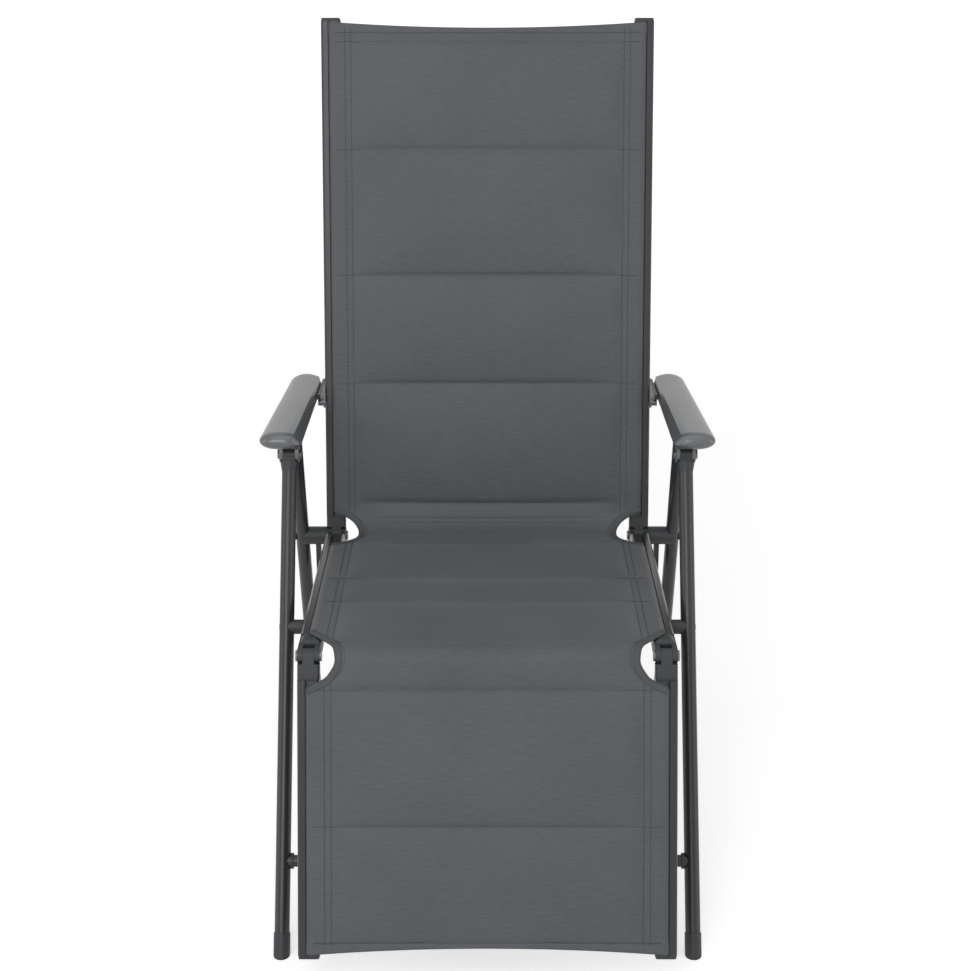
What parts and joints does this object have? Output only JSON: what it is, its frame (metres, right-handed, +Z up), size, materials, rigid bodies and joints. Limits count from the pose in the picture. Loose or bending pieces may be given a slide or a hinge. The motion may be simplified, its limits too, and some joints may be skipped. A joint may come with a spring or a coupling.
{
  "type": "reclining garden armchair",
  "caption": "High-backed reclining garden armchair with padded sling, hanging footrest, armrests and folding tube legs",
  "frame": {"origin": "on the floor under the middle of the chair's outline", "axes": "+Z up, -Y towards the sitter's feet (the chair faces -Y), +X to the right as seen from the front; the chair is symmetric in X"},
  "size_m": [0.617, 0.7652, 1.1358],
  "materials": {
    "padded_fabric": "fine woven, matt",
    "cord_plastic": "extruded",
    "armrest_plastic": "moulded, matt",
    "steel_pins": "dark plated",
    "frame_metal": "satin powder coat",
    "fitting_plastic": "moulded, satin"
  },
  "bodies": {
    "front_frame": {"arm_connector_left": "fitting_plastic", "arm_connector_right": "fitting_plastic", "arm_pivot_pins": "steel_pins", "front_cross_flanges": "fitting_plastic", "front_cross_tube": "frame_metal", "front_foot_left": "fitting_plastic", "front_foot_right": "fitting_plastic", "front_leg_left": "frame_metal", "front_leg_right": "frame_metal", "seat_pivot_bolts": "steel_pins", "seat_pivot_spacers": "fitting_plastic"},
    "armrests": {"armrest_comb_left": "fitting_plastic", "armrest_comb_right": "fitting_plastic", "armrest_left": "armrest_plastic", "armrest_right": "armrest_plastic", "armrest_side_ears": "fitting_plastic"},
    "backrest": {"back_hinge_lever_left": "fitting_plastic", "back_hinge_lever_right": "fitting_plastic", "back_lever_pins": "steel_pins", "back_lower_spreader": "frame_metal", "back_rail_caps": "fitting_plastic", "back_rail_left": "frame_metal", "back_rail_right": "frame_metal", "back_sling": "padded_fabric", "back_sling_cords": "cord_plastic", "back_track_pins": "steel_pins", "back_upper_spreader": "frame_metal"},
    "footrest": {"footrest_hinge_lever_left": "fitting_plastic", "footrest_hinge_lever_right": "fitting_plastic", "footrest_lever_pins": "steel_pins", "footrest_rail_caps": "fitting_plastic", "footrest_rail_left": "frame_metal", "footrest_rail_right": "frame_metal", "footrest_sling": "padded_fabric", "footrest_sling_cords": "cord_plastic", "footrest_spreader": "frame_metal"},
    "seat": {"front_hinge_pins": "steel_pins", "seat_front_fork_left": "fitting_plastic", "seat_front_fork_right": "fitting_plastic", "seat_front_spreader": "frame_metal", "seat_pivot_brackets": "frame_metal", "seat_rail_left": "frame_metal", "seat_rail_right": "frame_metal", "seat_rear_fork_left": "fitting_plastic", "seat_rear_fork_right": "fitting_plastic", "seat_rear_spreader": "frame_metal", "seat_sling": "padded_fabric", "seat_sling_cords": "cord_plastic"},
    "link_rods": {"link_rod_left": "frame_metal", "link_rod_right": "frame_metal"},
    "rear_frame": {"rear_cross_tube_lower": "frame_metal", "rear_cross_tube_upper": "frame_metal", "rear_foot_left": "fitting_plastic", "rear_foot_right": "fitting_plastic", "rear_hinge_pins": "steel_pins", "rear_leg_heads": "fitting_plastic", "rear_leg_left": "frame_metal", "rear_leg_right": "frame_metal", "rear_saddle_left": "fitting_plastic", "rear_saddle_right": "fitting_plastic"}
  },
  "joints": [
    {"name": "fold", "type": "hinge", "parent": "front_frame", "child": "seat", "pos_m": [0, -0.0887, 0.38001], "axis": [1, 0, 0], "range_deg": [0, 16]},
    {"name": "rear_leg_swing", "type": "hinge", "parent": "seat", "child": "rear_frame", "pos_m": [0, 0.21284, 0.394], "axis": [1, 0, 0], "range_deg": [-16.8, 0]},
    {"name": "armrest_swing", "type": "hinge", "parent": "front_frame", "child": "armrests", "pos_m": [0, 0.02376, 0.588], "axis": [1, 0, 0], "range_deg": [0, 38]},
    {"name": "recline", "type": "hinge", "parent": "seat", "child": "backrest", "pos_m": [0, 0.21284, 0.394], "axis": [-1, 0, 0], "range_deg": [0, 24]},
    {"name": "footrest_swing", "type": "hinge", "parent": "seat", "child": "footrest", "pos_m": [0, -0.25017, 0.413], "axis": [-1, 0, 0], "range_deg": [0, 24]},
    {"name": "rod_level", "type": "hinge", "parent": "backrest", "child": "link_rods", "pos_m": [0, 0.22823, 0.35171], "axis": [1, 0, 0], "range_deg": [0, 24]}
  ],
  "couplings": [
    {"joint": "rear_leg_swing", "follows": "fold", "ratio": -1.05},
    {"joint": "armrest_swing", "follows": "fold", "ratio": 2.375},
    {"joint": "footrest_swing", "follows": "recline", "ratio": 1},
    {"joint": "rod_level", "follows": "recline", "ratio": 1}
  ]
}
